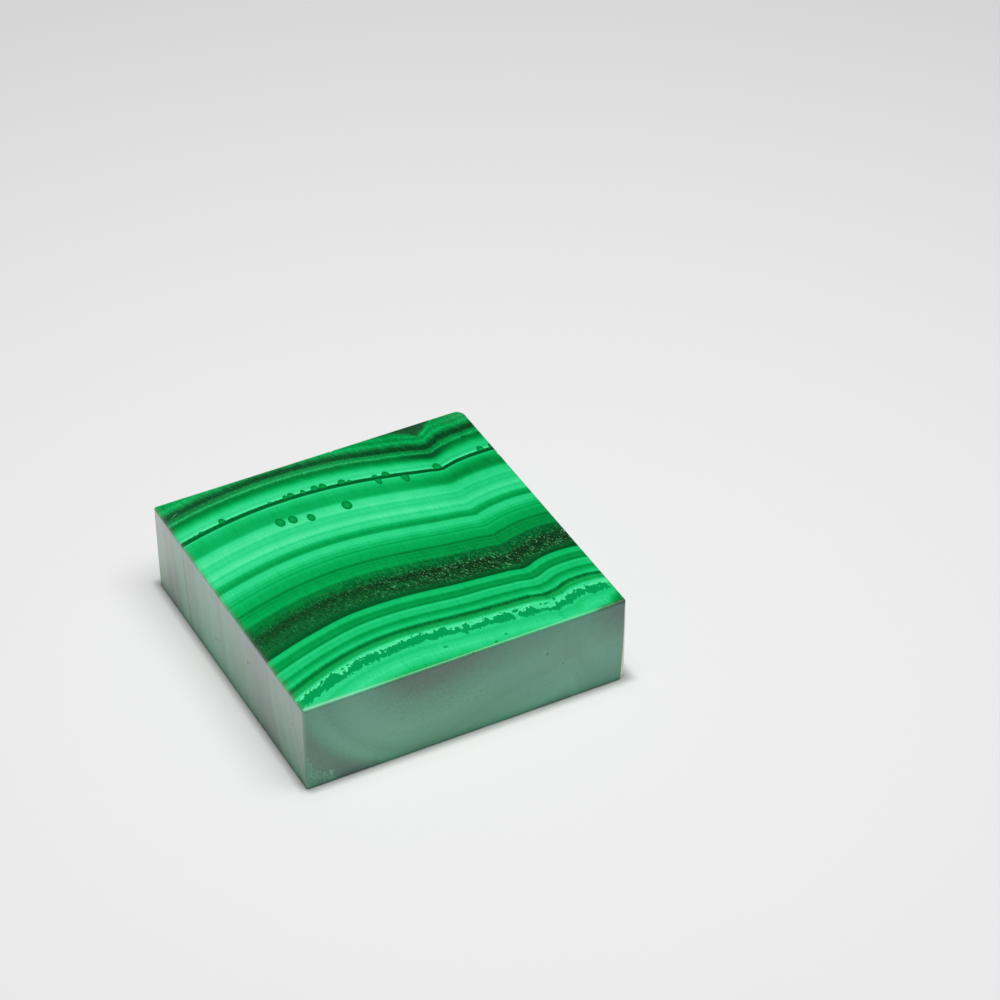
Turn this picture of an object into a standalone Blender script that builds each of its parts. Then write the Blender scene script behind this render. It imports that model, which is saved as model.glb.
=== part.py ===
"""A polished malachite slab, lying flat.

One square block sawn from banded green stone, its six faces lapped flat and polished.
The four upright corners were rounded by hand and none came out like another, every arris
is eased, and one foot of the block, at the right of the front edge, is knocked off.

Metres, +Z up. The origin is the centre of the underside.
"""

import bpy
from mathutils import Vector

# Size of the block over its flat faces.
WIDTH = 0.0450
DEPTH = 0.0460
THICKNESS = 0.0129

# Radius of each upright corner, by the signs of its X and Y.
CORNER_RADIUS = {
    (1, 1): 0.0013,
    (-1, 1): 0.0004,
    (1, -1): 0.0005,
    (-1, -1): 0.00035,
}

# Radius of the eased arrises round the top and the underside.
ARRIS_RADIUS = 0.00025

# The knocked foot: which corner of the underside, and how far the facet reaches along each edge.
KNOCKED_CORNER = (1, -1, -1)
KNOCK_REACH = 0.0010

CORNER_SEGMENTS = 8
EASING_SEGMENTS = 3
# Arrises turn by a right angle and the knocked facet by about 55 degrees. The facets of a
# rounded corner turn by 11, so an angle between them picks the sharp edges only.
SHARP_ANGLE = 0.6

STONE_GREEN = (0.010, 0.330, 0.110, 1.0)
POLISH_ROUGHNESS = 0.12


def clear_scene():
    """Removes whatever objects the file was opened with."""
    for found in list(bpy.data.objects):
        bpy.data.objects.remove(found, do_unlink=True)


def malachite():
    """The material of the slab: polished green stone in its mean colour."""
    material = bpy.data.materials.new("malachite")
    material.use_nodes = True
    shader = material.node_tree.nodes["Principled BSDF"]
    shader.inputs["Base Color"].default_value = STONE_GREEN
    shader.inputs["Roughness"].default_value = POLISH_ROUGHNESS
    shader.inputs["Metallic"].default_value = 0.0
    material.diffuse_color = STONE_GREEN
    return material


def sawn_block(collection):
    """The block as it leaves the saw: a sharp box that stands on the origin's plane."""
    bpy.ops.mesh.primitive_cube_add(size=1.0, location=(0.0, 0.0, THICKNESS / 2))
    block = bpy.context.object
    block.name = "malachite_slab"
    block.data.name = "malachite_slab"
    block.scale = (WIDTH, DEPTH, THICKNESS)
    bpy.ops.object.transform_apply(location=False, rotation=False, scale=True)
    for holder in list(block.users_collection):
        holder.objects.unlink(block)
    collection.objects.link(block)
    return block


def sign(value):
    """1 or -1, by the side of the centre that a coordinate lies on."""
    return 1 if value > 0 else -1


def weigh_upright_corners(mesh):
    """Gives each upright edge a bevel weight: its radius as a share of the widest one."""
    widest = max(CORNER_RADIUS.values())
    weights = mesh.attributes.new("bevel_weight_edge", "FLOAT", "EDGE")
    for edge in mesh.edges:
        low, high = (mesh.vertices[i].co for i in edge.vertices)
        run = Vector(high) - Vector(low)
        upright = abs(run.z) > abs(run.x) + abs(run.y)
        side = (sign(low.x), sign(low.y))
        weights.data[edge.index].value = CORNER_RADIUS[side] / widest if upright else 0.0
    return widest


def knock_one_corner(block):
    """Cuts a small facet across the knocked foot of the block."""
    group = block.vertex_groups.new(name="knocked_corner")
    for vertex in block.data.vertices:
        if tuple(sign(value) for value in vertex.co) == KNOCKED_CORNER:
            group.add([vertex.index], 1.0, "REPLACE")
    facet = block.modifiers.new("knocked corner", "BEVEL")
    facet.affect = "VERTICES"
    facet.limit_method = "VGROUP"
    facet.vertex_group = group.name
    facet.width = KNOCK_REACH
    facet.segments = 1


def round_upright_corners(block):
    """Rounds the four upright corners, each to its own radius."""
    rounding = block.modifiers.new("upright corners", "BEVEL")
    rounding.limit_method = "WEIGHT"
    rounding.width = weigh_upright_corners(block.data)
    rounding.segments = CORNER_SEGMENTS


def ease_arrises(block):
    """Takes the sharpness off every arris round the top and the underside."""
    easing = block.modifiers.new("eased arrises", "BEVEL")
    easing.limit_method = "ANGLE"
    easing.angle_limit = SHARP_ANGLE
    easing.width = ARRIS_RADIUS
    easing.segments = EASING_SEGMENTS


clear_scene()
slab_collection = bpy.data.collections.new("malachite slab")
bpy.context.scene.collection.children.link(slab_collection)

slab = sawn_block(slab_collection)
knock_one_corner(slab)
round_upright_corners(slab)
ease_arrises(slab)
slab.data.materials.append(malachite())
slab.data.shade_smooth()
slab.data.set_sharp_from_angle(angle=SHARP_ANGLE)
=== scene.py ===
"""Looks of a polished malachite slab that lies flat on a pale table.

Lengths are in metres, except that the stone's markings and all names in _mm are in millimetres. The
slab's own frame has its origin under the middle of the block, +X to the right along the front edge
and +Y from the front edge to the back.
"""
import math
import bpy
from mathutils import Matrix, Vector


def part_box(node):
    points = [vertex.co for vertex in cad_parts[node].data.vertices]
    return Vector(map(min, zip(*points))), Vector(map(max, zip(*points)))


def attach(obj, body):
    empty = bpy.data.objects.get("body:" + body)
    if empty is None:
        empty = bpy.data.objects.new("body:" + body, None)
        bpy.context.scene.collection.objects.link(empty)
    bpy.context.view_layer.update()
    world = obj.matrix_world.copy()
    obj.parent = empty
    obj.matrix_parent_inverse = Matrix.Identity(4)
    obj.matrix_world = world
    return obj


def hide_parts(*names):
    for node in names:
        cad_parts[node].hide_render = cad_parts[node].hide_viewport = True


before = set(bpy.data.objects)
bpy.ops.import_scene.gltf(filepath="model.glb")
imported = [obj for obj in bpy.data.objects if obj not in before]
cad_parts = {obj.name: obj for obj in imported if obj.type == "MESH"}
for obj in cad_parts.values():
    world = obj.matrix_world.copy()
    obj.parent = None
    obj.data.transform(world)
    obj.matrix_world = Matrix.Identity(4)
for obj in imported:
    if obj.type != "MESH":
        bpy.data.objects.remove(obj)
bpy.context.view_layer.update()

from types import SimpleNamespace

import bpy
import numpy as np
from mathutils import Matrix, Vector

# The slab is one block of solid malachite, sawn square from a lump of the stone. Its faces were lapped
# flat by hand and polished, its upright corners rounded unequally, and its arrises only just eased.
MM = 0.001
slab_low, slab_high = (np.array(corner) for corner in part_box("malachite_slab"))
half_width = (slab_high[0] - slab_low[0]) / 2
half_depth = (slab_high[1] - slab_low[1]) / 2
thickness = slab_high[2] - slab_low[2]
half_width_mm = half_width / MM
half_depth_mm = half_depth / MM
thickness_mm = thickness / MM

# Radius of each upright corner, by the signs of its X and Y, anticlockwise from the back right one:
# at the top face and at the underside. The front right one is rubbed rounder towards its foot.
corner_radii = {
    (1, 1): (1.3 * MM, 1.3 * MM),
    (-1, 1): (0.4 * MM, 0.4 * MM),
    (-1, -1): (0.35 * MM, 0.35 * MM),
    (1, -1): (0.32 * MM, 0.95 * MM),
}
arris_radius = 0.25 * MM

# The foot of the front right corner is knocked off, this far along each of the edges that met there.
knock_reach = 1.0 * MM

# How many steps of the mesh lie along each straight edge, round each curve and up the sides.
run_steps = 260
corner_steps = 14
arris_steps = 6
side_steps = 48
flat_rings = 9

# Lapping leaves each side a little fuller in the middle than at its arrises, and faintly wavy. The
# phase of the waves grows by so many radians per metre, slanting across a side and along it.
side_fullness = 0.02 * MM
lapping_wave = 0.006 * MM
slanting_phase = 210.0
lengthwise_phase = 130.0

# Pits in the sides, and chips along the arrises: X, Y and Z of the middle, radius and depth, in mm.
dents_mm = [
    (-22.5, 7.6, 7.3, 0.30, 0.07),
    (-22.5, 3.4, 4.6, 0.22, 0.06),
    (-22.5, 2.3, 5.2, 0.18, 0.05),
    (-22.5, -6.5, 8.4, 0.34, 0.06),
    (11.2, -23.0, 8.5, 0.28, 0.08),
    (13.4, -23.0, 6.1, 0.20, 0.05),
    (15.4, -23.0, 3.5, 0.18, 0.05),
    (22.5, -4.5, 6.0, 0.30, 0.07),
    (22.5, 9.0, 9.2, 0.24, 0.06),
    (-6.0, 23.0, 5.5, 0.32, 0.07),
    (9.5, 23.0, 8.0, 0.22, 0.05),
    (-22.5, -15.0, 12.9, 0.35, 0.12),
    (-9.0, -23.0, 12.9, 0.28, 0.10),
    (5.5, -23.0, 12.9, 0.22, 0.08),
    (22.5, 12.0, 12.9, 0.40, 0.14),
    (3.0, 23.0, 12.9, 0.36, 0.12),
    (-22.5, -21.0, 0.0, 0.50, 0.16),
    (10.0, -23.0, 0.0, 0.42, 0.14),
]


def rounded_outline(lowness):
    """Points and outward normals round the block at one height, seen from above and anticlockwise.

    Each corner is a quarter circle about a centre that lies its radius in from both faces. The radius
    goes from its top value to its foot value with lowness, from 0 to 1. The straight runs between two
    corners are divided evenly, into as many steps at every height.
    """
    points, normals = [], []
    first_turn = {(1, 1): 0.0, (-1, 1): 0.5, (-1, -1): 1.0, (1, -1): 1.5}
    for (side_x, side_y), (top_radius, foot_radius) in corner_radii.items():
        radius = top_radius + (foot_radius - top_radius) * lowness
        turn = math.pi * (first_turn[side_x, side_y] + np.linspace(0.0, 0.5, corner_steps + 1))
        normal = np.stack([np.cos(turn), np.sin(turn)], axis=1)
        centre = np.array([side_x * (half_width - radius), side_y * (half_depth - radius)])
        points.append(centre + radius * normal)
        normals.append(normal)
    share = np.arange(1, run_steps)[:, None] / run_steps
    ring, outward = [], []
    for arc, arc_normal, following in zip(points, normals, points[1:] + points[:1]):
        ring.extend([arc, arc[-1] + (following[0] - arc[-1]) * share])
        outward.extend([arc_normal, np.repeat(arc_normal[-1:], run_steps - 1, axis=0)])
    return np.concatenate(ring), np.concatenate(outward)


def wall_profile():
    """Inset and height of each line of the side, from the underside's flat to the top's.

    Both arrises are quarter circles. The lines of the side bunch towards the arrises by a cosine.
    """
    turn = np.linspace(0.0, math.pi / 2, arris_steps + 1)
    arris_inset = arris_radius * (1 - np.sin(turn))
    arris_height = arris_radius * (1 - np.cos(turn))
    even = np.arange(1, side_steps) / side_steps
    bunched = (1 - np.cos(math.pi * even)) / 2
    side_height = arris_radius + (thickness - 2 * arris_radius) * (0.6 * bunched + 0.4 * even)
    inset = np.concatenate([arris_inset, np.zeros(side_steps - 1), arris_inset[::-1]])
    height = np.concatenate([arris_height, side_height, thickness - arris_height[::-1]])
    return inset, height


def lapped(points, normals):
    """Moves points inward as hand lapping left them: fuller sides, long faint waves, and the dents.

    The loss at the arrises grows with the fourth power of the height above or below the middle. Each
    dent is a smooth bowl: its depth times the square of one minus the squared distance over its radius.
    """
    level = 2 * points[:, 2] / thickness - 1
    x_and_y = points[:, 0] + points[:, 1]
    slanting_wave = np.sin(x_and_y * slanting_phase + level * 1.3)
    wave = slanting_wave * np.cos(points[:, 0] * lengthwise_phase - level)
    loss = side_fullness * level ** 4 + lapping_wave * (1 + wave) / 2
    for x, y, z, radius, depth in dents_mm:
        gap = np.linalg.norm(points - np.array([x, y, z]) * MM, axis=1) / (radius * MM)
        loss = loss + depth * MM * np.clip(1 - gap ** 2, 0.0, 1.0) ** 2
    return points - normals * loss[:, None]


def knocked(points):
    """Pushes the points beyond the knocked foot's facet back onto it, along the facet's own normal."""
    facet = np.array([1.0, -1.0, -1.0]) / math.sqrt(3.0)
    corner = np.array([half_width, -half_depth, 0.0])
    reach = (corner - np.array([knock_reach, 0.0, 0.0])) @ facet
    beyond = np.clip(points @ facet - reach, 0.0, None)
    return points - beyond[:, None] * facet


def slab_mesh():
    """The whole skin of the slab as one closed grid: outline one way, wall profile the other.

    The flats of the top and underside are the wall's end lines drawn in towards the middle in rings,
    each flat closed by a fan about one middle point.
    """
    inset, height = wall_profile()
    lowness = (1 - height / thickness) ** 1.5
    outward = rounded_outline(0.0)[1]
    count = len(outward)
    outlines = np.stack([rounded_outline(share)[0] for share in lowness])
    wall_xy = outlines - outward[None] * inset[:, None, None]
    wall_z = np.broadcast_to(height[:, None, None], wall_xy.shape[:2] + (1,))
    wall = np.concatenate([wall_xy, wall_z], axis=2).reshape(-1, 3)
    sideways = np.concatenate([outward, np.zeros((count, 1))], axis=1)
    wall = lapped(wall, np.tile(sideways, (len(height), 1))).reshape(len(height), count, 3)
    # The first ring stays close to the arris, so that the shading turns there and not on the flat.
    shrink = np.concatenate([[0.997], np.linspace(0.985, 0.08, flat_rings)])[:, None, None]
    flat_xy = np.array([1.0, 1.0, 0.0])
    under = wall[:1] * flat_xy * shrink[::-1]
    over = wall[-1:] * flat_xy * shrink + np.array([0.0, 0.0, thickness])
    grid = np.concatenate([under, wall, over])
    rows = len(grid)
    grid_points = knocked(grid.reshape(-1, 3))
    middle = np.array([[0.0, 0.0, 0.0], [0.0, 0.0, thickness]])
    vertices = np.concatenate([grid_points, middle])
    here = np.arange(count)
    after = np.roll(here, -1)
    row = np.arange(rows - 1)[:, None] * count
    quads = np.stack([row + here, row + after, row + count + after, row + count + here], axis=2)
    top_row = (rows - 1) * count
    low_middle = np.full(count, len(grid_points))
    low_fan = np.stack([after, here, low_middle], axis=1)
    high_fan = np.stack([top_row + here, top_row + after, low_middle + 1], axis=1)
    mesh = bpy.data.meshes.new("malachite_slab_polished")
    mesh.from_pydata(vertices, [], quads.reshape(-1, 4).tolist() + low_fan.tolist() + high_fan.tolist())
    mesh.update()
    mesh.shade_smooth()
    return mesh


slab = bpy.data.objects.new("polished_slab", slab_mesh())
bpy.context.scene.collection.objects.link(slab)
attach(slab, "root")
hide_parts("malachite_slab")


# Malachite grows outward from many points in thin layers, each a little paler or darker than the last.
# Here three domes of layers meet: a wide one at the left, a low one in the middle that the first soon
# swallows, and a later one at the right, which meets them in the kinked line across the top face.


class Value:
    """A node's output. Where it is a number, arithmetic on it adds the Math nodes that work it out."""

    def __init__(self, finish, socket):
        self.finish = finish
        self.socket = socket

    def __add__(self, other):
        return self.finish.math("ADD", self, other)

    def __sub__(self, other):
        return self.finish.math("SUBTRACT", self, other)

    def __rsub__(self, other):
        return self.finish.math("SUBTRACT", other, self)

    def __mul__(self, other):
        return self.finish.math("MULTIPLY", self, other)

    __radd__ = __add__
    __rmul__ = __mul__


class Finish:
    """The nodes of a material or of the world. Each is made by add(), and each Math node by math()."""

    def __init__(self, owner):
        owner.use_nodes = True
        self.owner = owner
        self.tree = owner.node_tree

    def feed(self, node, sockets):
        """Links Values to a node's sockets, or sets them to plain numbers, colours or vectors."""
        for name, value in sockets.items():
            if isinstance(value, Value):
                self.tree.links.new(value.socket, node.inputs[name])
            else:
                node.inputs[name].default_value = value

    def add(self, kind, settings, sockets, result=0):
        """A node of any kind: its settings are set first, then its sockets by name or number."""
        node = self.tree.nodes.new("ShaderNode" + kind)
        for name, setting in settings.items():
            if name == "stops":
                self.set_stops(node.color_ramp, setting)
            else:
                setattr(node, name, setting)
        self.feed(node, sockets)
        return Value(self, node.outputs[result])

    def set_stops(self, ramp, stops):
        """Fills a ramp with stops of place and colour, in rising order."""
        ramp.elements[0].position = stops[0][0]
        ramp.elements[-1].position = stops[-1][0]
        for place, _ in stops[1:-1]:
            ramp.elements.new(place)
        for element, (_, colour) in zip(ramp.elements, stops):
            element.color = colour

    def math(self, operation, *values):
        """A Math node on one to three values."""
        return self.add("Math", {"operation": operation}, dict(enumerate(values)))

    def step(self, value, low, high):
        """0 below low and 1 above high, with a smooth rise between them."""
        settings = {"interpolation_type": "SMOOTHSTEP"}
        return self.add("MapRange", settings, {"Value": value, "From Min": low, "From Max": high})

    def hill(self, value, centre, reach):
        """1 where value is at centre, falling smoothly to 0 at reach on either side."""
        return 1 - self.step(self.math("ABSOLUTE", value - centre), 0.0, reach)

    def scaled(self, vector, scale):
        """The vector with each of its parts times its own scale."""
        return self.add("VectorMath", {"operation": "MULTIPLY"}, {0: vector, 1: scale})

    def away(self, vector, centre, stretch):
        """How far the vector lies from a centre, each of its parts times its own stretch."""
        offset = self.add("VectorMath", {"operation": "SUBTRACT"}, {0: vector, 1: centre})
        stretched = self.scaled(offset, stretch)
        return self.add("VectorMath", {"operation": "LENGTH"}, {0: stretched}, result="Value")

    def joined(self, x, y, z):
        """A vector of three numbers or Values."""
        return self.add("CombineXYZ", {}, {"X": x, "Y": y, "Z": z})

    def noise(self, vector, scale, detail=2.0, roughness=0.5):
        """Soft noise from -1 to 1 about its mean."""
        sockets = {"Vector": vector, "Scale": scale, "Detail": detail, "Roughness": roughness}
        return self.add("TexNoise", {}, sockets) * 2 - 1

    def cells(self, vector, scale):
        """Cells about scattered points: the distance from the point, and a chance from 0 to 1."""
        distance = self.add("TexVoronoi", {}, {"Vector": vector, "Scale": scale}, result="Distance")
        colour = Value(self, distance.socket.node.outputs["Color"])
        return distance, self.add("SeparateXYZ", {}, {0: colour})

    def blend(self, share, first, second):
        """The first colour where share is 0 and the second where it is 1."""
        return self.add("Mix", {"data_type": "RGBA"}, {"Factor": share, 6: first, 7: second}, result=2)


def swatch(red, green, blue):
    """The linear colour of a tone that a picture on a screen shows as these values from 0 to 255."""
    parts = [value / 255 for value in (red, green, blue)]
    return tuple(p / 12.92 if p < 0.04045 else ((p + 0.055) / 1.055) ** 2.4 for p in parts) + (1.0,)


def grey(level):
    """The linear colour of a plain grey."""
    return (level, level, level, 1.0)


# Colours of the stone from its darkest layers to its palest, by tone.
stone_tones = [
    (0.00, swatch(2, 20, 8)),
    (0.15, swatch(4, 48, 18)),
    (0.25, swatch(3, 72, 31)),
    (0.35, swatch(2, 98, 45)),
    (0.45, swatch(0, 134, 59)),
    (0.55, swatch(0, 163, 78)),
    (0.65, swatch(10, 186, 99)),
    (0.75, swatch(30, 205, 121)),
    (0.83, swatch(47, 218, 138)),
    (0.90, swatch(69, 230, 153)),
    (1.00, swatch(102, 244, 172)),
]

# The layers across the top face, from the first one grown at the front to the last at the back: how
# far out each lies in mm along the middle of the left dome, and its tone.
layers = [
    # Front edge, the bright band, and the pale ground of the ragged band
    (-24.0, 0.52), (-22.9, 0.60), (-22.3, 0.74), (-21.6, 0.80), (-21.0, 0.85), (-20.2, 0.80),
    (-19.5, 0.72), (-19.0, 0.79), (-18.7, 0.78), (-18.3, 0.80), (-17.6, 0.88), (-16.7, 0.89),
    (-16.35, 0.71),
    # The stripes behind it
    (-16.1, 0.56), (-15.75, 0.55), (-15.45, 0.42), (-15.15, 0.36), (-14.9, 0.46), (-14.65, 0.68),
    (-14.35, 0.72), (-14.0, 0.63), (-13.35, 0.50), (-13.15, 0.54), (-12.95, 0.67), (-12.7, 0.72),
    (-12.2, 0.68), (-11.85, 0.77), (-11.6, 0.72), (-11.45, 0.48), (-11.25, 0.46), (-10.85, 0.53),
    (-10.45, 0.49), (-10.2, 0.52), (-9.85, 0.68), (-9.2, 0.665),
    # The dark granular band, from its crisp front edge
    (-9.02, 0.62), (-8.90, 0.30), (-8.62, 0.27), (-8.3, 0.31), (-7.85, 0.35), (-7.3, 0.32),
    (-6.7, 0.33), (-5.6, 0.26), (-5.0, 0.24), (-4.4, 0.34), (-3.8, 0.35), (-3.3, 0.40), (-2.75, 0.40),
    # Mid to pale green, with paired lines
    (-2.5, 0.48), (-2.2, 0.56), (-1.5, 0.51), (-1.3, 0.54), (-0.9, 0.48), (-0.6, 0.53), (-0.3, 0.43),
    (-0.1, 0.43), (0.2, 0.56), (1.0, 0.56), (1.5, 0.60), (1.88, 0.66), (2.1, 0.56), (2.28, 0.57),
    (2.5, 0.67), (2.88, 0.63), (3.2, 0.74), (3.45, 0.73),
    # The green line through the pale bands
    (3.8, 0.81), (4.78, 0.79), (4.93, 0.60), (5.05, 0.55), (5.45, 0.51), (5.8, 0.58), (6.15, 0.62),
    # The palest bands with their thin lines
    (6.4, 0.77), (6.7, 0.83), (7.25, 0.85), (7.45, 0.79), (7.6, 0.80), (7.9, 0.90), (8.2, 0.93),
    (9.0, 0.85), (9.4, 0.79), (9.9, 0.84), (10.3, 0.80), (10.6, 0.83), (10.85, 0.92), (11.2, 0.88),
    (11.8, 0.86),
    # Green below the seam
    (12.35, 0.83), (12.65, 0.68), (13.0, 0.59), (14.1, 0.59), (14.6, 0.63), (15.0, 0.68), (15.5, 0.72),
    # The seam
    (15.74, 0.83), (15.90, 0.66), (15.98, 0.35), (16.25, 0.32), (16.60, 0.33),
    # The bright band behind the seam, with its pale rim
    (16.74, 0.88), (16.92, 0.94), (17.2, 0.82), (17.5, 0.82), (17.9, 0.84), (18.3, 0.78), (18.6, 0.71),
    # The shaded band and the pale thread behind it
    (18.9, 0.64), (19.2, 0.53), (19.6, 0.44), (20.0, 0.40), (20.3, 0.44), (20.45, 0.53), (20.62, 0.60),
    (20.82, 0.55),
    # The brownish dark band, then soft green with faint threads up to the back edge
    (20.95, 0.49), (21.3, 0.46), (21.62, 0.32), (21.95, 0.28), (22.4, 0.33), (22.8, 0.43), (23.1, 0.50),
    (23.35, 0.60), (23.6, 0.60), (24.0, 0.49), (24.3, 0.50), (24.7, 0.58), (25.1, 0.50), (25.6, 0.52),
    (27.0, 0.46),
]

# A ramp holds no more than 32 stops, so a longer list is cut into ramps of this many.
most_stops = 30


def traced(finish, value, points):
    """The height of a line through points of place and height, drawn straight from each to the next.

    The line is cut into ramps of most_stops points. A ramp holds its last height beyond its ends, so
    each next ramp takes over above the point that it shares.
    """
    heights = [height for _, height in points]
    base, rise = min(heights), max(heights) - min(heights)
    line = None
    for first in range(0, len(points) - 1, most_stops - 1):
        part = points[first:first + most_stops]
        low, high = part[0][0], part[-1][0]
        stops = []
        for place, height in part:
            stops.append(((place - low) / (high - low), grey((height - base) / rise)))
        ramp = finish.add("ValToRGB", {"stops": stops}, {"Fac": (value - low) * (1 / (high - low))})
        line = ramp if line is None else line + finish.math("GREATER_THAN", value, low) * (ramp - line)
    return line * rise + base


# How far in front of the block's middle the left dome started, in mm. Growth counts from the middle, so
# along the left dome's own line it is the same as Y.
left_start = 43.95

# Where each dome started, how its layers stretch along X, Y and Z, its pace, and its head start in mm.
left_dome = ((-6.7, -left_start, 15.0), (1.08, 1.0, 0.9), 1.0, 0.0)
middle_dome = ((3.1, -30.9, 15.6), (0.37, 1.0, 0.7), 1.117, 12.24)
right_dome = ((19.6, -28.2, 17.6), (1.24, 1.0, 0.4), 1.073, 15.6)


def growth_layers(finish, place_mm, x):
    """How late a place grew, in mm along the middle of the left dome, and its X as seen from the kink.

    A dome's layer reaches a place after its stretched distance times its pace, plus its head start.
    The first to arrive wins. The left and middle domes flow together, and the right one meets them
    at the kink, where the layers sag. Beside it the early ones crest, and the last ones lag at the
    right edge. The other terms are slow swells of a few tenths of a millimetre.
    """
    left, middle, right = (
        finish.away(place_mm, centre, stretch) * pace + head_start
        for centre, stretch, pace, head_start in (left_dome, middle_dome, right_dome)
    )
    flowing = finish.math("SMOOTH_MIN", left, middle, 4.8)
    even = finish.math("SMOOTH_MIN", flowing, right, 0.5) - left_start
    kink_x = x - 13.9 - finish.step(even, 3.0, 14.0) * 0.7
    sag = finish.math("MAXIMUM", 0.36 - finish.math("ABSOLUTE", kink_x) * 0.19, 0.0)
    crest_depth = finish.math("MINIMUM", finish.math("MAXIMUM", (even + 6.0) * -0.030, 0.0), 0.16)
    crest = finish.hill(kink_x, 3.0, 2.8) * crest_depth
    lag = finish.math("MAXIMUM", even - 14.0, 0.0) * finish.math("MAXIMUM", x - 15.0, 0.0) * 0.0145
    corner_rise = finish.step(x, 20.3, 22.6) * (1 - finish.step(even, -18.5, -15.5)) * 0.5
    behind = finish.step(even, -8.0, -4.0) * 0.11
    right_swell = finish.step(kink_x, 0.4, 2.0) * finish.step(even, -8.0, -6.0) * 0.22
    right_swell = right_swell * (1 - finish.step(even, 13.0, 17.0) * 0.6)
    left_swell = (1 - finish.step(x, -15.0, -9.0)) * finish.step(even, -14.5, -12.5) * 0.2
    left_swell = left_swell * (1 - finish.step(even, -8.0, -5.0))
    hollow = finish.hill(x, 8.0, 4.0) * finish.hill(even, -11.5, 4.5) * 0.2
    edge_swell = finish.hill(even, -8.9, 1.2) * (0.08 - finish.step(x, -8.0, 4.0) * 0.18)
    late_sag = finish.hill(kink_x, -1.5, 5.0) * finish.step(even, 15.0, 20.0) * 0.3
    late_sag = late_sag + finish.hill(x, 8.0, 4.0) * finish.step(even, 17.0, 20.0) * 0.2
    late_crest = finish.hill(kink_x, 2.8, 3.0) * finish.step(even, 20.5, 23.5) * 0.4
    swells = behind + right_swell + left_swell + edge_swell - hollow + late_sag - late_crest
    growth = even + sag - crest - lag - corner_rise + swells
    return growth, kink_x


# Edges of the ragged band, in mm of growth along X: its torn back edge, then its front edge.
torn_back = [
    (-22.5, -16.80), (-19.5, -16.75), (-19.1, -17.20), (-18.1, -16.75), (-15.8, -16.80),
    (-15.3, -17.50), (-14.4, -17.50), (-14.0, -17.05), (-10.1, -16.90), (-9.7, -17.50), (-9.25, -17.62),
    (-9.1, -16.65), (-8.9, -17.50), (-8.0, -17.55), (-7.4, -17.15), (-6.3, -17.10), (-6.0, -16.80),
    (-5.6, -17.35), (-5.1, -17.05), (-3.4, -16.95), (-3.0, -16.55), (-2.88, -17.50), (-2.6, -16.70),
    (-2.0, -17.35), (-1.5, -16.90), (-0.1, -16.70), (0.1, -17.45), (0.7, -17.50), (1.0, -17.15),
    (1.6, -17.80), (2.0, -17.30), (2.6, -16.85), (2.75, -17.75), (3.6, -17.65), (4.5, -17.55),
    (4.8, -17.05), (5.3, -16.85), (5.65, -17.65), (6.1, -17.70), (6.5, -17.00), (8.0, -17.05),
    (8.5, -17.50), (8.7, -18.70), (8.80, -19.00), (9.05, -19.00), (9.20, -17.70), (9.7, -17.20),
    (9.9, -17.70), (10.3, -17.60), (10.8, -17.00), (11.4, -17.30), (11.6, -18.10), (12.3, -18.25),
    (13.6, -18.20), (13.8, -17.95), (14.2, -17.90), (14.3, -17.20), (14.6, -17.10), (14.7, -17.75),
    (15.0, -17.50), (15.3, -17.40), (15.6, -17.80), (16.0, -17.45), (16.6, -17.20), (17.4, -17.45),
    (18.4, -17.35), (18.85, -17.50), (18.98, -18.15), (19.12, -17.40), (20.5, -17.40), (20.75, -17.95),
    (21.1, -17.60), (22.5, -17.50),
]
torn_front = [
    (-22.5, -18.05), (-19.0, -18.25), (-15.0, -18.40), (-13.3, -18.45), (-13.0, -18.70),
    (-12.2, -18.25), (-11.5, -18.50), (-10.3, -18.50), (-10.1, -19.10), (-9.9, -18.60), (-7.0, -18.60),
    (-4.2, -18.50), (-3.6, -18.20), (-3.0, -18.25), (-2.7, -18.55), (-2.0, -18.75), (-1.7, -18.45),
    (0.5, -18.45), (1.5, -18.50), (1.9, -19.15), (2.1, -19.00), (2.25, -18.40), (2.6, -18.80),
    (3.6, -18.65), (5.0, -18.60), (5.4, -18.40), (6.4, -18.80), (8.2, -18.90), (8.6, -18.60),
    (9.1, -18.50), (9.35, -18.80), (9.9, -19.15), (10.2, -18.90), (10.8, -19.20), (11.2, -18.90),
    (11.8, -19.15), (12.1, -18.80), (13.5, -18.90), (15.2, -18.75), (16.0, -18.70), (17.2, -18.60),
    (18.4, -18.85), (18.7, -18.20), (18.95, -18.90), (19.5, -19.15), (20.3, -19.10), (22.5, -18.90),
]

# Islands of the same green in the pale ground behind the band: X, Y and radius along X and Y, in mm.
islands = [
    (12.60, -18.62, 0.20, 0.18), (13.25, -18.80, 0.36, 0.18), (14.55, -18.45, 0.20, 0.34),
    (16.05, -17.85, 0.20, 0.22), (9.15, -18.28, 0.46, 0.32), (-14.80, -18.10, 0.22, 0.20),
]

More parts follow.
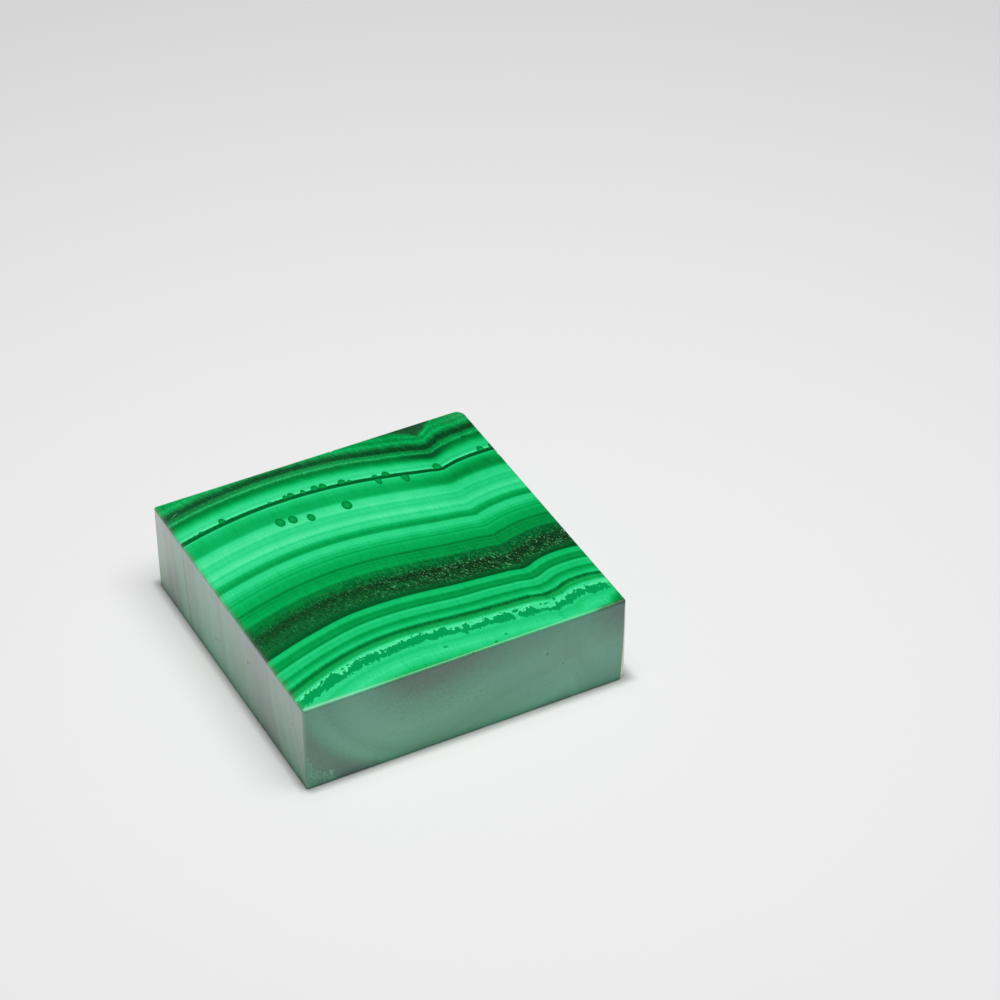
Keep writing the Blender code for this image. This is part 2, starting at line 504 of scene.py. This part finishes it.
# Round eyes of a younger growth: X and Y of the middle and radius along X and Y, in mm. The first ones
# lie free in the pale bands. The others cling to the back of the seam or hang from its front.
free_eyes = [
    (-9.30, 12.05, 0.67, 0.92), (-7.60, 11.85, 0.63, 0.86), (-5.30, 11.15, 0.52, 0.83),
    (-0.10, 11.30, 0.70, 0.97),
]
eyes_behind = [
    (-20.20, 14.60, 0.22, 0.32), (-19.20, 14.90, 0.40, 0.37), (-15.85, 15.50, 0.53, 1.05),
    (-8.80, 16.35, 0.30, 0.44), (-6.50, 16.30, 0.44, 0.81), (-5.70, 16.30, 0.57, 0.94),
    (-4.00, 16.30, 0.38, 0.78), (-2.30, 16.25, 0.57, 0.94), (-1.20, 16.15, 0.54, 0.96),
    (1.40, 15.75, 0.60, 0.93), (2.35, 15.60, 0.35, 0.50), (5.75, 14.90, 0.42, 0.60),
    (7.20, 14.35, 0.60, 1.13), (13.90, 12.75, 0.62, 1.20), (20.70, 13.45, 0.55, 1.10),
    (22.40, 13.50, 0.50, 0.95),
]
eyes_before = [
    (5.80, 14.45, 0.45, 1.30), (9.25, 13.50, 0.55, 1.60), (9.20, 12.60, 0.22, 0.45),
    (22.55, 13.00, 0.25, 0.90),
]

# Edge of the dark notch in the top face where the kink meets the back edge: Y in mm along X.
notch_edge = [
    (7.5, 23.3), (9.5, 22.75), (11.1, 22.60), (12.5, 22.00), (13.6, 21.30), (14.2, 20.70),
    (14.6, 20.15), (15.0, 20.70), (15.5, 21.15), (16.1, 21.55), (16.6, 22.05), (17.3, 22.60),
    (18.0, 23.5),
]

# Soft dark clouds in the top face: X, Y and radius along X and Y, in mm, and how much darker.
top_clouds = [
    (22.50, -22.20, 2.50, 1.80, 0.32), (20.60, -23.20, 3.60, 0.90, 0.34),
    (22.70, -19.00, 0.60, 4.20, 0.30), (22.60, 13.50, 0.60, 2.20, 0.20),
    (20.00, 11.60, 3.20, 0.80, 0.06),
]

# Soft dark clouds in the front side, below the middle of its arris and at its right end: X, Z and radius
# along X and Z, in mm, and how much darker.
front_clouds = [
    (-3.50, 13.50, 12.00, 7.50, 0.15), (24.00, 12.50, 7.50, 11.00, 0.34),
]

# Small dark marks in the front and left sides, where grains fell out in the lapping: X, Y, Z and
# radius, in mm.
pits_mm = [
    (11.2, -23.0, 8.5, 0.28), (13.4, -23.0, 6.1, 0.16), (15.5, -23.0, 3.5, 0.15),
    (-22.5, 4.1, 4.5, 0.32), (-22.5, 2.9, 5.0, 0.28), (-22.5, -6.2, 8.15, 0.30),
    (-22.5, -6.8, 8.65, 0.30), (-22.5, -19.5, 8.1, 0.22),
]


def in_face(spots):
    """Middle and radii of each eye or island, in the plane of the top face."""
    return [((x, y, thickness_mm), (radius_x, radius_y, radius_y)) for x, y, radius_x, radius_y in spots]


def nearest_spot(finish, place, spots):
    """Distance to the middle of the nearest spot, in that spot's radii."""
    nearest = None
    for centre, radii in spots:
        gap = finish.away(place, centre, tuple(1 / radius for radius in radii))
        nearest = gap if nearest is None else finish.math("MINIMUM", nearest, gap)
    return nearest


def skin(finish):
    """Where a point of the skin lies, in mm and in growth, with the noises that several markings share.

    sides is 0 on the top face and 1 elsewhere, left_side is 1 on the left side alone, and level goes
    from 0 at the underside to 1 at the top. even is the growth, growth is the same with a fine comb
    where the fibres end unevenly, and kink_x is X as seen from the kink. Each noise but clouding is
    stretched along the growth by its own amount.
    """
    at = SimpleNamespace()
    spot = finish.add("TexCoord", {}, {}, result="Object")
    at.place = finish.scaled(spot, (1 / MM,) * 3)
    x, y, z = (finish.add("SeparateXYZ", {}, {0: at.place}, result=part) for part in "XYZ")
    at.x, at.y, at.z = x, y, z
    at.level = z * (1 / thickness_mm)
    at.sides = 1 - finish.step(z, thickness_mm - 0.32, thickness_mm - 0.12)
    at.left_side = at.sides * (1 - finish.step(x, 0.1 - half_width_mm, 0.5 - half_width_mm))
    even, at.kink_x = growth_layers(finish, at.place, x)
    at.even = even

    def leaning(across, out, lean=0.0):
        """The place, scaled across the growth and out along it, and sheared by lean."""
        return finish.joined(x * across + even * lean, even * out, z * across)

    at.comb = finish.noise(leaning(4.2, 0.45), 1.0, 3.0, 0.6)
    at.silk = finish.noise(leaning(0.9, 0.05), 1.0, 3.0, 0.6)
    at.drift = finish.noise(leaning(1.6, 1.0, 0.6), 1.0, 3.0, 0.65)
    at.strands = finish.noise(leaning(1.9, 0.22, 0.8), 1.0, 3.0, 0.6)
    at.spikes = finish.noise(leaning(2.9, 0.8, -0.5), 1.0, 3.0, 0.8)
    at.nibbles = finish.noise(leaning(6.5, 4.5), 1.0, 2.0, 0.6)
    at.fibres = finish.noise(leaning(5.0, 0.8, 2.0), 1.0, 1.0, 0.5)
    at.clouding = finish.noise(at.place, 0.35, 2.0)
    at.chance = finish.cells(leaning(7.5, 3.6, 1.4), 1.0)[1]
    at.crumb = finish.cells(leaning(3.3, 2.6, -0.4), 1.0)[1] - 0.5
    at.grain = at.chance - 0.5
    at.late = finish.step(even, 19.6, 20.6)
    growth = even + at.comb * (0.08 - at.sides * 0.06) + finish.step(even, 20.7, 21.3) * at.drift * 0.25
    at.growth = growth + finish.step(even, 17.0, 19.0) * at.strands * 0.22
    return at


# Where a layer's tone changes on the way to the right: the X where the change starts and the X where it
# is complete, the growth of the layer and its reach on either side, all in mm, and the change in tone.
rightward_changes = [
    (-4.0, 12.0, -6.30, 2.00, -0.06),
    (-4.0, 12.0, -2.30, 2.40, -0.05),
    (2.0, 12.0, 21.90, 0.90, -0.04),
    (14.0, 18.0, -16.50, 0.70, -0.06),
    (14.0, 18.0, -15.75, 0.40, 0.06),
    (11.0, 13.0, -14.75, 0.35, 0.10),
    (14.0, 18.0, 16.40, 0.50, 0.09),
]


def layered_tone(finish, at):
    """Tone of the layers: their listed tone, plus hairlines along them, the comb, clouding and silk.

    The rest are slow changes that a layer shows in one part of the slab only.
    """
    x, even, growth = at.x, at.even, at.growth
    tone = traced(finish, growth, layers)
    hairlines = finish.noise(finish.joined(growth * 3.1, x * 0.05, at.z * 0.05), 1.0, 3.0, 0.6)
    tone = tone + hairlines * 0.035 + at.comb * 0.06 + at.clouding * 0.02 + at.silk * 0.03
    tone = tone + 0.008 - x * 0.0009
    for first_x, last_x, layer, reach, change in rightward_changes:
        tone = tone + finish.step(x, first_x, last_x) * finish.hill(even, layer, reach) * change
    right_fade = finish.step(x, 7.5, 16.5) * finish.step(even, 5.0, 12.5)
    right_fade = right_fade * (1 - finish.step(even, 17.5, 19.5))
    tone = tone - right_fade * (0.075 + finish.hill(even, 13.6, 1.1) * 0.05)
    leftward = 1 - finish.step(x, -17.0, -9.0)
    tone = tone - leftward * (finish.hill(even, 15.4, 1.0) * 0.04 + finish.hill(even, 21.1, 0.7) * 0.09)
    dusky_layers = finish.hill(even, -7.1, 1.1) * 0.05 + finish.hill(even, -5.1, 0.8) * 0.05
    tone = tone - finish.hill(x, 3.0, 10.0) * dusky_layers
    tone = tone - finish.hill(at.kink_x, -0.8, 5.0) * finish.hill(even, 19.8, 1.5) * 0.12
    # The seam is thinner towards the right, and the stone a little darker along the left arris
    tone = tone + finish.step(x, 8.0, 16.0) * finish.hill(growth, 16.66, 0.22) * 0.35
    return tone - (1 - at.sides) * finish.hill(x, 0.35 - half_width_mm, 0.4) * 0.06


def ragged_band(finish, at, tone):
    """The band of flat green between two torn edges, and the palest ground along its back edge.

    Each edge is its traced line, shifted by the noises in mm of growth. In the front side the band
    shows at the left end only, its front edge is softer, and pale blotches and lace break up the back
    one. Returns the tone, and how much of the point is in the band.
    """
    x, even, sides = at.x, at.even, at.sides
    back_noise = at.crumb * 0.75 + at.spikes * 0.45 + at.nibbles * 0.25
    back_gap = even - traced(finish, x, torn_back) - back_noise - sides * 0.6
    front_noise = at.crumb * 0.40 + at.spikes * 0.20 + at.nibbles * 0.30
    front_gap = even - traced(finish, x, torn_front) - front_noise * (1 - sides * 0.7)
    shown = 1 - sides * finish.step(x, -12.0, -7.0)
    torn_edge = finish.step(front_gap, -0.07, 0.05)
    soft_edge = finish.step(front_gap, -0.5, 0.8)
    front_edge = torn_edge + sides * (soft_edge - torn_edge)
    ragged = (1 - finish.step(back_gap, -0.05, 0.07)) * front_edge * shown
    ragged = ragged * (1 - finish.step(x + at.crumb * 0.4, 21.85, 22.05))
    island_gap = nearest_spot(finish, at.place, in_face(islands)) + at.nibbles * 0.5
    ragged = finish.math("MAXIMUM", ragged, 1 - finish.step(island_gap, 0.8, 1.1))
    halo = finish.hill(back_gap, 0.12, 0.50) * shown
    tone = tone + halo * (0.09 + at.nibbles * 0.22 + at.spikes * 0.12 - at.crumb * 0.08)
    # The dark stripe behind the band breaks up towards the right
    broken = finish.hill(even, -15.3, 0.8) * finish.step(x, -8.0, 2.0)
    tone = tone + broken * (at.nibbles * 0.22 + at.spikes * 0.16)
    near_edge = finish.step(back_gap, -1.1, -0.1)
    blotches = finish.step(at.nibbles + at.spikes * 0.7, 0.0, 0.5) * near_edge * sides
    flat_green = 0.545 + at.silk * 0.02 - sides * 0.03
    tone = tone + ragged * (1 - blotches * 0.8) * (flat_green - tone)
    threads = finish.step(at.nibbles + at.spikes * 0.5, -0.35, 0.15)
    lace = finish.step(back_gap, -0.1, 0.4) * threads * sides
    on_front_side = finish.step(x, -22.45, -22.2) * (1 - finish.step(at.y, -22.9, -22.6))
    return tone + lace * (0.86 - tone) * 0.8 * on_front_side, ragged


def round_eyes(finish, at, tone):
    """The eyes, each with a darker rim about a lighter middle.

    Those that cling to the seam show on one side of it only, and the seam runs on nearly unchanged.
    """
    even = at.even
    ripple = at.comb * 0.05
    hidden = 9.0
    free = nearest_spot(finish, at.place, in_face(free_eyes)) + ripple
    behind = nearest_spot(finish, at.place, in_face(eyes_behind)) + ripple
    before = nearest_spot(finish, at.place, in_face(eyes_before)) + ripple
    behind = behind + (1 - finish.step(even, 16.2, 16.5)) * hidden
    before = before + finish.step(even, 16.1, 16.4) * hidden
    eye = finish.math("MINIMUM", free, finish.math("MINIMUM", behind, before))
    eye_tone = 0.57 - finish.step(eye, 0.05, 1.0) * 0.13
    in_eye = 1 - finish.step(eye, 0.90, 1.06)
    tone = tone + in_eye * (eye_tone - tone) * (1 - finish.hill(even, 16.3, 0.45) * 0.85)
    return tone - in_eye * finish.hill(even, 16.25, 0.4) * 0.06


def granular_band(finish, at, tone):
    """The granular band: fine dark and pale grains, coarsest in its core and towards the right.

    Each grain is a cell with a chance of its own, and the highest chances get a painted glint, a pale
    colour standing for light that flashes off their fibres. Near the kink the fibres show as pale
    needles. Returns the tone, the core, the strength of the grains and the painted glint.
    """
    x, even, chance = at.x, at.even, at.chance
    core = finish.step(even, -8.7, -7.3) * (1 - finish.step(even + at.drift * 1.2, -5.2, -3.2))
    spread = finish.step(even, -8.6, -7.0) * (1 - finish.step(even + at.drift * 1.5, -4.0, -0.5))
    rightward = finish.step(x, -20.0, 6.0)
    strength = core * (0.50 + 0.42 * rightward) * (0.70 + 0.30 * finish.step(even, -6.2, -4.8))
    faint = spread * (0.22 + rightward * 0.48)
    tone = tone + strength * (at.grain * 0.25 - 0.02) + faint * at.grain * 0.20 + core * at.drift * 0.06
    # Painted glints on the palest cells
    glint = finish.step(chance, 0.84, 0.92) * finish.step(at.drift + at.nibbles * 0.5, -0.2, 0.3)
    glint = glint * (strength * (0.20 + 0.80 * finish.step(x, -12.0, 14.0)) + faint * 0.4)
    glow = core * 0.02 + finish.hill(even, -8.1, 0.6) * 0.05 + finish.hill(even, -4.7, 0.7) * 0.06
    tone = tone + glow * finish.hill(at.kink_x, -1.0, 2.0)
    needle_zone = finish.hill(at.kink_x, -0.8, 3.2) * finish.hill(even, -4.5, 1.4)
    needle = finish.step(at.fibres, 0.30, 0.55) * needle_zone
    return tone, core, strength, finish.math("MAXIMUM", glint, needle * 0.6)


def specks(finish, at, tone):
    """Dots in the late bands at the back, dark specks near the front edge, in the sides and on the kink.

    A speck is the middle of a cell, and its size and depth follow from the chance of that cell.
    """
    x, even, sides, nibbles = at.x, at.even, at.sides, at.nibbles
    tone = tone + at.late * (nibbles * 0.14 + at.spikes * 0.07 + at.strands * 0.10)
    tone = tone + finish.hill(even, 20.6, 0.3) * nibbles * 0.25
    tone = tone + nibbles * 0.035
    coarse_gap, coarse_chance = finish.cells(at.place, 0.62)
    coarse = 1 - finish.step(coarse_gap * 1.6 - coarse_chance * 0.16, 0.08, 0.20)
    fine_gap, fine_chance = finish.cells(at.place, 1.5)
    fine = (1 - finish.step(fine_gap * 0.67 - fine_chance * 0.05, 0.04, 0.10)) * 0.6
    front_zone = (1 - finish.step(even, -20.6, -19.9)) * (1 - finish.step(x, 20.5, 21.5))
    tone = tone - finish.math("MAXIMUM", coarse, fine) * front_zone * (1 - sides) * 0.26
    # Those in the sides are finest, and thickest in the middle of the front
    side_gap, side_chance = finish.cells(finish.scaled(at.place, (2.7, 2.7, 2.7)), 1.0)
    in_side = (1 - finish.step(side_gap, 0.16, 0.42)) * finish.step(side_chance, 0.35, 0.80)
    dusty = 0.30 + finish.hill(x, -3.0, 14.0) * finish.hill(at.z, 8.0, 7.0)
    tone = tone - sides * dusty * (in_side * 0.20 - nibbles * 0.16)
    on_kink = finish.hill(at.kink_x, 0.0, 0.55) * finish.step(at.chance, 0.55, 0.85)
    return tone - on_kink * (1 - finish.step(even, 9.0, 13.0)) * 0.07


def clouds(finish, at, tone):
    """The dark notch where the kink meets the back edge, and the soft clouds of both polished faces.

    Returns the tone, and how much of the point is in the notch.
    """
    x, y, sides, nibbles = at.x, at.y, at.sides, at.nibbles
    notch_gap = y - traced(finish, x, notch_edge)
    notch = finish.step(notch_gap + at.drift * 0.35 + nibbles * 0.25, -0.30, 0.65)
    tone = tone - notch * (0.22 - nibbles * 0.25 - at.grain * 0.15)
    beside_notch = finish.step(x, 14.7, 15.4) * finish.step(y, 19.5, 20.5)
    tone = tone + finish.hill(notch_gap, -0.45, 0.35) * beside_notch * 0.09
    for cloud_x, cloud_y, radius_x, radius_y, depth in top_clouds:
        gap = finish.away(at.place, (cloud_x, cloud_y, thickness_mm), (1 / radius_x, 1 / radius_y, 0.5))
        tone = tone - (1 - finish.step(gap + at.silk * 0.3, 0.3, 1.0)) * (1 - sides) * depth
    for cloud_x, cloud_z, radius_x, radius_z, depth in front_clouds:
        gap = finish.away(at.place, (cloud_x, -half_depth_mm, cloud_z), (1 / radius_x, 3.0, 1 / radius_z))
        tone = tone - (1 - finish.step(gap + at.silk * 0.2, 0.1, 1.0)) * sides * depth
    return tone, notch


def side_tone(finish, at, tone):
    """How the layers show in the sides: best at the front side's left end, and faintly in the left side.

    The left side has clouds and slanting scratches besides, and both have pits. Returns the tone, and
    how much of the point is in a pit.
    """
    x, y, z, even, left_side = at.x, at.y, at.z, at.even, at.left_side
    front_left = (at.sides - finish.step(x, -14.0, -4.0)) * finish.step(x, -22.45, -22.2)
    tone = tone + finish.math("MAXIMUM", front_left, 0.0) * ((tone - 0.66) * 0.5 + 0.02)
    flattened = 0.45 + (1 - finish.step(even, -10.5, -9.0)) * 0.20 - finish.step(even, 15.0, 17.0) * 0.12
    tone = tone + left_side * (0.61 - tone) * flattened
    scratches = finish.noise(finish.joined(0.0, (y + z) * 0.35, (z - y) * 2.2), 1.0, 3.0, 0.6)
    cloud = finish.hill(y, 15.5, 6.0) * finish.hill(z, 4.5, 5.5)
    marks = at.clouding * 0.08 + at.nibbles * 0.04 + scratches * 0.07 - cloud * 0.08
    tone = tone + left_side * marks
    # Painted light and shade in the front, right and back sides: a little lighter overall and most about
    # the middle of their height, darker near the foot
    shading = 0.02 + finish.hill(z, 6.0, 6.0) * 0.05 - (1 - finish.step(z, 0.5, 4.0)) * 0.05
    tone = tone + (at.sides - left_side) * shading
    pits = [((pit_x, pit_y, pit_z), (radius,) * 3) for pit_x, pit_y, pit_z, radius in pits_mm]
    pitted = 1 - finish.step(nearest_spot(finish, at.place, pits) + at.nibbles * 0.3, 0.5, 1.1)
    return tone - pitted * 0.22, pitted


def stains(finish, at, colour, tone, ragged, core, strength):
    """Colours that the tone alone can't give: iron brown, a yellow ground, and pale grey threads.

    Brown comes into the darkest layers, and yellow behind the ragged band, which is itself a little
    bluer. The late bands at the back are grey in places, with a pale thread and one hair-thin scratch.
    """
    x, y, even, nibbles = at.x, at.y, at.even, at.nibbles
    brown = finish.hill(even, 22.0, 0.9) * (0.30 - finish.step(x, -6.0, 8.0) * 0.22)
    brown = brown + strength * (0.10 + at.grain * 0.40)
    colour = finish.blend((1 - finish.step(tone, 0.30, 0.52)) * brown, colour, swatch(26, 50, 28))
    yellow = finish.hill(even, -15.95, 0.7) * (0.16 + nibbles * 0.20)
    colour = finish.blend(yellow, colour, swatch(52, 165, 86))
    colour = finish.blend(ragged * 0.15, colour, swatch(0, 152, 118))
    faded = 1 - finish.step(x, 4.0, 11.0) * 0.7
    thread = finish.hill(at.growth, 20.64, 0.30) * (0.20 + nibbles * 0.6) * faded
    scratch_gap = finish.math("ABSOLUTE", y - x * 0.583 - 32.07)
    scratch = (1 - finish.step(scratch_gap, 0.02, 0.09)) * finish.hill(x, -20.85, 0.9) * 0.9
    dotting = at.late * (0.02 - finish.step(x, -2.0, 10.0) * 0.02 + nibbles * 0.05 + at.spikes * 0.03)
    dotting = dotting + finish.step(x, 17.0, 22.0) * finish.step(y, 20.0, 22.0) * 0.12
    greyed = finish.hill(even, 21.3, 0.5) + finish.hill(even, 22.9, 0.6)
    dotting = dotting + greyed * (0.055 - finish.step(x, -2.0, 12.0) * 0.035)
    pale = finish.math("MAXIMUM", thread, finish.math("MAXIMUM", scratch, dotting))
    return finish.blend(pale, colour, swatch(105, 190, 145))


def painted_side_shade(finish, at, colour):
    """Painted shade: the sides get far less light than the top, so their colour is dimmed about half way
    towards a dark blue green, a little more near the top and a little less in the left side.
    """
    side_shade_share = at.sides * (0.50 + at.level * 0.10) - at.left_side * 0.10
    left_shade_colour = finish.blend(finish.step(at.y, -20.0, 4.0), swatch(8, 30, 102), swatch(0, 46, 98))
    front_shade_colour = finish.blend(finish.step(at.x, 2.0, 14.0), swatch(0, 15, 80), swatch(0, 28, 98))
    side_shade_colour = finish.blend(at.left_side, front_shade_colour, left_shade_colour)
    return finish.blend(side_shade_share, colour, side_shade_colour)


def worn_and_highlit_edges(finish, at, colour):
    """The arrises are worn dull, and painted highlights lighten the left and front ones near the top.

    A painted highlight also runs down the upright corner at the right of the front, wider towards its
    foot. Returns the colour, how much rougher the wear leaves a point, and how much of the corner's
    painted highlight is on it.
    """
    x, y, z = at.x, at.y, at.z
    by_top = finish.step(z, thickness_mm - 0.60, thickness_mm - 0.25)
    arris_y = by_top * finish.step(finish.math("ABSOLUTE", y), half_depth_mm - 0.30, half_depth_mm - 0.15)
    arris_x = by_top * finish.step(finish.math("ABSOLUTE", x), half_width_mm - 0.30, half_width_mm - 0.15)
    ends = (1 - finish.step(x, -16.0, -1.0)) * 0.26 + finish.step(x, 12.0, 18.0) * 0.32
    worn = finish.math("MAXIMUM", arris_y * (0.30 + ends), arris_x * 0.30)
    # Painted highlights along the top of the left and front arrises
    left_arris_highlight = (1 - finish.step(x, -22.42, -22.25)) * (0.10 + at.nibbles * 0.3)
    left_arris_highlight = left_arris_highlight + (1 - finish.step(x, -22.3, -21.6)) * 0.06
    front_arris_highlight = (1 - finish.step(y, -22.75, -22.35)) * (0.05 + (1 - finish.step(x, -21.0, -8.0)) * 0.25)
    arris_highlight = finish.step(z, 12.5, 12.72) * finish.math("MAXIMUM", left_arris_highlight, front_arris_highlight)
    colour = finish.blend(arris_highlight, colour, swatch(175, 205, 198))
    # Painted highlight down the upright corner at the right of the front, widening towards its foot
    low = 1 - at.level
    corner_x = x + low * low * 0.60
    corner_highlight = finish.step(corner_x, 22.20, 22.30) * (1 - finish.step(y, -22.9, -22.0))
    corner_highlight = corner_highlight * (1 - finish.step(z, 11.2, 12.4))
    return finish.blend(corner_highlight, colour, swatch(237, 238, 210)), worn, corner_highlight


def side_veil(finish, at):
    """Weight of the satin coat, by which the sides reflect the pale table and the lamps softly."""
    y, z, level = at.y, at.z, at.level
    left_veil = 0.21 + finish.step(level, 0.0, 0.95) * 0.61 + finish.step(y, 15.0, 22.5) * 0.36
    left_veil = left_veil - (1 - finish.step(y, -22.0, -6.0)) * 0.05
    left_veil = left_veil + finish.step(y, 17.0, 20.0) * finish.hill(z, 7.0, 3.5) * 0.07
    front_veil = 0.13 + finish.step(level, 0.0, 0.2) * 0.04 + finish.step(level, 0.0, 0.5) * 0.08
    front_veil = front_veil - finish.step(level, 0.6, 1.0) * 0.05
    front_veil = front_veil + finish.step(at.x, 3.0, 14.0) * finish.hill(z, 6.0, 6.5) * 0.14
    return at.left_side * left_veil + (at.sides - at.left_side) * front_veil


def malachite():
    """Banded malachite: growth layers, fibres across them, grains, eyes and specks, under a polish."""
    finish = Finish(bpy.data.materials.new("malachite_banded"))
    at = skin(finish)
    tone = layered_tone(finish, at)
    tone, ragged = ragged_band(finish, at, tone)
    tone = round_eyes(finish, at, tone)
    tone, core, strength, glint = granular_band(finish, at, tone)
    tone = specks(finish, at, tone)
    tone, notch = clouds(finish, at, tone)
    tone, pitted = side_tone(finish, at, tone)

    colour = finish.add("ValToRGB", {"stops": stone_tones}, {"Fac": tone})
    colour = stains(finish, at, colour, tone, ragged, core, strength)
    greying = notch * (0.55 + at.nibbles * 0.4 + at.strands * 0.3)
    colour = finish.blend(greying, colour, swatch(42, 86, 56))
    colour = finish.blend(core * 0.025, colour, swatch(120, 92, 82))
    # Painted glints, and with them the pale needles by the kink
    colour = finish.blend(glint * 0.72, colour, swatch(122, 190, 142))
    # The sides are darkened by painted shade.
    colour = painted_side_shade(finish, at, colour)
    colour, worn, corner_highlight = worn_and_highlit_edges(finish, at, colour)

    relief = at.comb * 0.3 + at.grain * strength
    bump = finish.add("Bump", {}, {"Strength": 0.15, "Distance": 0.01 * MM, "Height": relief})
    finish.feed(finish.tree.nodes["Principled BSDF"], {
        "Base Color": colour,
        "Roughness": 0.07 + at.sides * 0.22 + at.comb * 0.01 + strength * at.chance * 0.06 + worn,
        "IOR": 1.88,
        "Coat IOR": 2.1,
        "Coat Roughness": 0.28,
        "Coat Weight": side_veil(finish, at) * (1 - pitted * 0.8) * (1 - corner_highlight),
        "Normal": bump,
    })
    return finish.owner


slab.data.materials.append(malachite())


# The table is a sheet of matt white board, much larger than the view. The slab only lies on it, and
# nothing holds it there.
table_size = 4.0
table_tone = 0.82

bpy.ops.mesh.primitive_plane_add(size=table_size)
table = bpy.context.object
table.name = "table"
table_paint = Finish(bpy.data.materials.new("table_white"))
table_paint.feed(table_paint.tree.nodes["Principled BSDF"], {
    "Base Color": grey(table_tone),
    "Roughness": 0.9,
    "Specular IOR Level": 0.0,
})
table.data.materials.append(table_paint.owner)


# Two lamps hang above the slab, tilted alike: a small one straight over it, and a wide soft box to its
# right. The studio about them is dark, so that the polished top face shows its own colours.
lamp_facing = (-0.10, 0.08, -1.0)
lamps = {
    "small_lamp": {"place": (-0.007, 0.002, 0.47), "size": (0.025, 0.07), "power": 1.17},
    "soft_box": {"place": (0.056, -0.063, 0.47), "size": (0.22, 0.38), "power": 1.22},
}
for lamp_name, lamp in lamps.items():
    light = bpy.data.lights.new(lamp_name, "AREA")
    light.shape = "RECTANGLE"
    light.size, light.size_y = lamp["size"]
    light.energy = lamp["power"]
    light_object = bpy.data.objects.new(lamp_name, light)
    light_object.location = lamp["place"]
    light_object.rotation_euler = Vector(lamp_facing).to_track_quat("-Z", "Y").to_euler()
    bpy.context.scene.collection.objects.link(light_object)

# Levels of the studio's grey: as a soft light from all round, in reflections, and behind the table.
studio_fill = 0.045
studio_gloss = 0.012
studio_backdrop = 0.62

studio = Finish(bpy.data.worlds.new("studio"))
sky = studio.tree.nodes["Background"]
studio.feed(sky, {"Color": grey(studio_fill)})
seen = Value(studio, sky.outputs["Background"])
for ray, level in (("Is Glossy Ray", studio_gloss), ("Is Camera Ray", studio_backdrop)):
    is_ray = studio.add("LightPath", {}, {}, result=ray)
    other = studio.add("Background", {}, {"Color": grey(level)})
    seen = studio.add("MixShader", {}, {"Fac": is_ray, 1: seen, 2: other})
studio.feed(studio.tree.nodes["World Output"], {"Surface": seen})
bpy.context.scene.world = studio.owner


# The camera stands where the photograph was taken from.
view_azimuth = math.radians(-26.83)
view_elevation = math.radians(37.82)
view_roll = math.radians(-0.99)
view_distance = 0.5033
view_centre = (0.02543, 0.01759, 0.0)
focal_pixels = 3700
picture_pixels = 1000
sensor_mm = 36.0

forward = np.array([
    -math.sin(view_azimuth) * math.cos(view_elevation),
    math.cos(view_azimuth) * math.cos(view_elevation),
    -math.sin(view_elevation),
])
level_right = np.array([math.cos(view_azimuth), math.sin(view_azimuth), 0.0])
level_up = np.cross(level_right, forward)
tilted_right = level_right * math.cos(view_roll) + level_up * math.sin(view_roll)
tilted_up = np.cross(tilted_right, forward)
turned = Matrix([Vector(axis) for axis in (tilted_right, tilted_up, -forward)]).transposed()

camera_data = bpy.data.cameras.new("camera")
camera_data.sensor_width = sensor_mm
camera_data.lens = sensor_mm * focal_pixels / picture_pixels
camera_data.clip_start = 0.01
camera = bpy.data.objects.new("camera", camera_data)
camera_place = Matrix.Translation(np.array(view_centre) - view_distance * forward)
camera.matrix_world = camera_place @ turned.to_4x4()
bpy.context.scene.collection.objects.link(camera)
bpy.context.scene.camera = camera
bpy.context.scene.view_settings.view_transform = "Standard"
